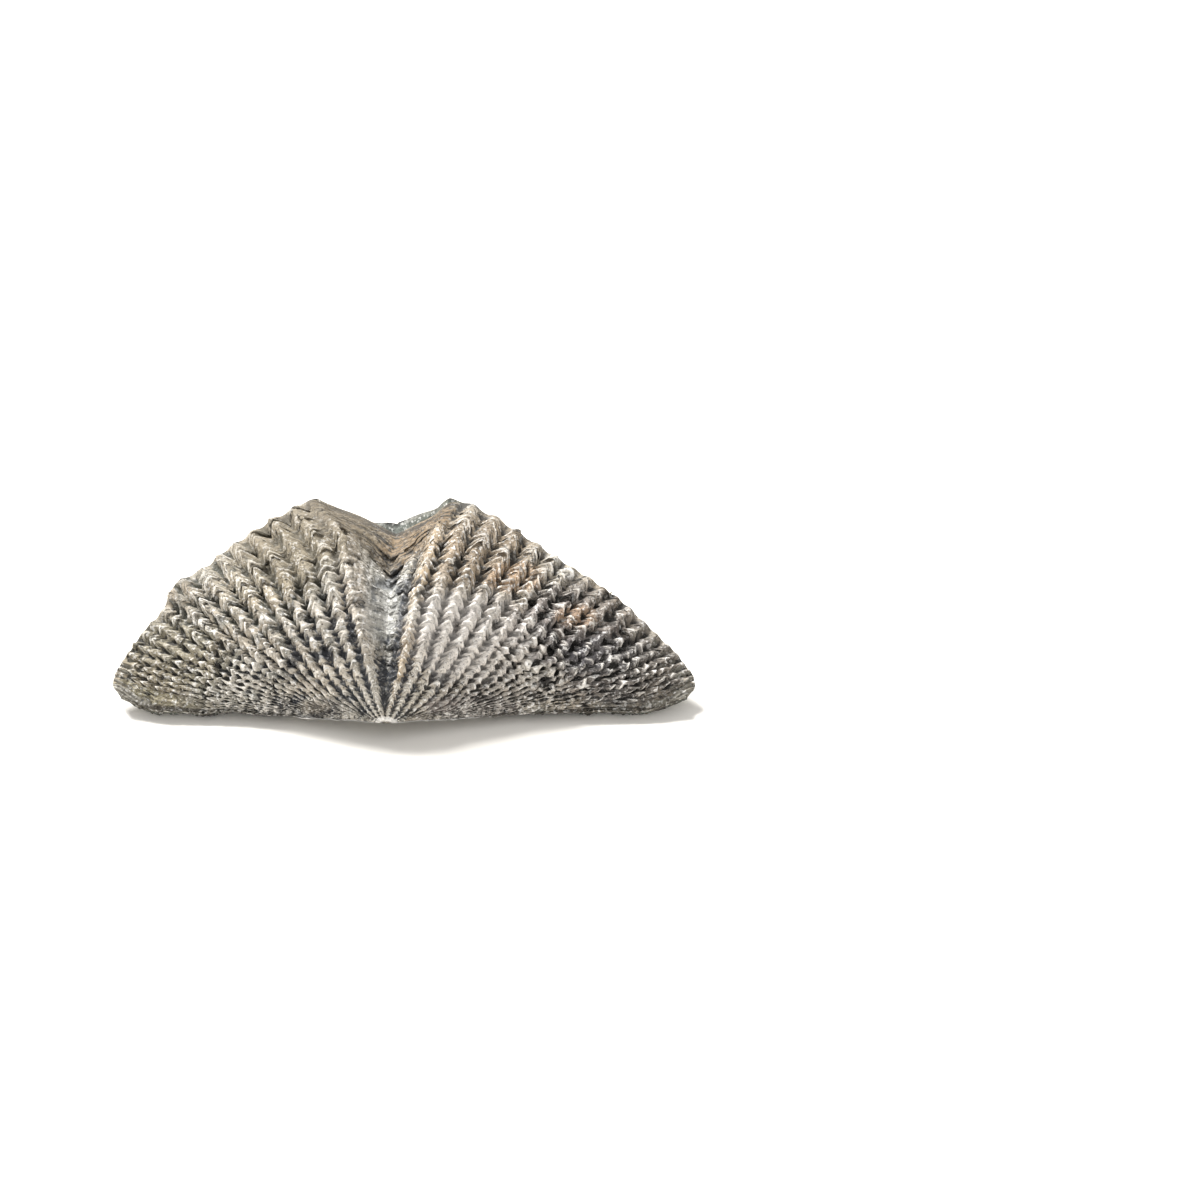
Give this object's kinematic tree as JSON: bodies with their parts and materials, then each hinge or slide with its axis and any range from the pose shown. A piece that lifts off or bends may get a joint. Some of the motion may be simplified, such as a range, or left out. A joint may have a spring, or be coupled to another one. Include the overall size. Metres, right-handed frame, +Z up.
{
  "type": "brachiopod fossil",
  "caption": "Wide-hinged fossil seashell with both ribbed valves shut, a deep central groove, blunt ears and a small beak, lying on its folded underside.",
  "frame": {"origin": "middle of the shell's outline on the surface it rests on", "axes": "+X along the hinge line, +Y from the hinge towards the front margin, +Z up"},
  "size_m": [0.0362, 0.0156, 0.009],
  "materials": {
    "grey_brown_stone": "matt, weathered, dark in the furrows and pale on the ribs",
    "dark_stone": "matt, weathered, a little darker and greener"
  },
  "bodies": {
    "root": {"pedicle_valve": "grey_brown_stone", "brachial_valve": "dark_stone"}
  },
  "joints": []
}
